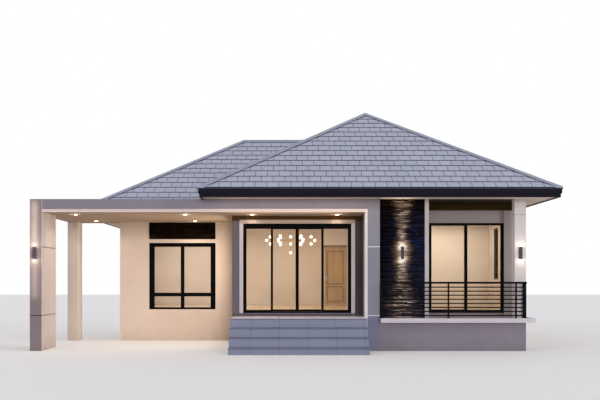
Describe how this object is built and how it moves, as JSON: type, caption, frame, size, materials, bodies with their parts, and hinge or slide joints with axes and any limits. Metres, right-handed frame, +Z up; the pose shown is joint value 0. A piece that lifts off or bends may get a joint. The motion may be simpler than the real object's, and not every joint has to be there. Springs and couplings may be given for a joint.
{
  "type": "bungalow",
  "caption": "Single-storey hip-roofed bungalow on a raised floor, with a portal-framed flat carport, front steps, stone-clad pier, railed balcony and sliding glass doors.",
  "frame": {"origin": "centre of the overall box on the ground", "axes": "+X along the front to the right, +Y from the front to the back, +Z up"},
  "size_m": [13.459, 12.07, 6.7653],
  "materials": {
    "floor_tile": "polished",
    "step_tile": "honed tile",
    "grey_render": "painted render",
    "cream_render": "painted render",
    "white_board": "painted board",
    "roof_tile": "flat concrete tile",
    "dark_fascia": "painted board",
    "dark_stone": "split slate strips",
    "pale_concrete": "painted concrete",
    "black_metal": "satin",
    "black_aluminium": "powder coated",
    "clear_glass": "clear",
    "door_wood": "oiled",
    "brushed_metal": "brushed",
    "lamp_brass": "satin",
    "lamp_glass": "opal"
  },
  "bodies": {
    "house": {"floor": "floor_tile", "entry_landing": "step_tile", "lower_step": "step_tile", "middle_step": "step_tile", "upper_step": "step_tile", "back_steps": "step_tile", "front_wall_left": "grey_render", "front_wall_middle": "grey_render", "front_wall_right": "grey_render", "door_lintels": "grey_render", "door_sill_walls": "grey_render", "right_wall": "cream_render", "back_wall_left": "cream_render", "back_wall_right": "cream_render", "wing_side_wall": "cream_render", "wing_front_wall": "cream_render", "carport_wall": "cream_render", "room_partition": "cream_render", "bedroom_partition": "cream_render", "ceiling": "white_board", "main_roof": "roof_tile", "wing_roof": "roof_tile", "roof_caps": "roof_tile", "fascias": "dark_fascia", "soffits": "white_board", "portal_beam": "grey_render", "left_column": "cream_render", "right_leg": "grey_render", "carport_slab": "cream_render", "rear_column": "cream_render", "pier": "cream_render", "stone_cladding": "dark_stone", "balcony_slab": "pale_concrete", "balcony_plinth": "grey_render", "balcony_column": "cream_render", "front_railing": "black_metal", "side_railing": "black_metal", "entry_trim": "cream_render", "entry_door_frame": "black_aluminium", "balcony_door_frame": "black_aluminium", "window_frames": "black_aluminium", "window_glass": "clear_glass", "back_door_frame": "door_wood", "wall_lights": "black_metal", "downlights": "lamp_glass", "chandelier": "lamp_brass", "chandelier_globes": "lamp_glass"},
    "entry_left_leaf": {"left_leaf": "black_aluminium", "left_leaf_glass": "clear_glass"},
    "entry_right_leaf": {"right_leaf": "black_aluminium", "right_leaf_glass": "clear_glass"},
    "balcony_sliding_leaf": {"balcony_leaf": "black_aluminium", "balcony_leaf_glass": "clear_glass"},
    "back_door_leaf": {"back_door": "door_wood", "back_door_handle": "brushed_metal"}
  },
  "joints": [
    {"name": "entry_left_slide", "type": "slide", "parent": "house", "child": "entry_left_leaf", "axis": [-1, 0, 0], "range_m": [0, 0.65]},
    {"name": "entry_right_slide", "type": "slide", "parent": "house", "child": "entry_right_leaf", "axis": [1, 0, 0], "range_m": [0, 0.65]},
    {"name": "balcony_slide", "type": "slide", "parent": "house", "child": "balcony_sliding_leaf", "axis": [1, 0, 0], "range_m": [0, 0.85]},
    {"name": "back_door_hinge", "type": "hinge", "parent": "house", "child": "back_door_leaf", "pos_m": [1.979, 4.877, 0.94], "axis": [0, 0, 1], "range_deg": [0, 90]}
  ]
}
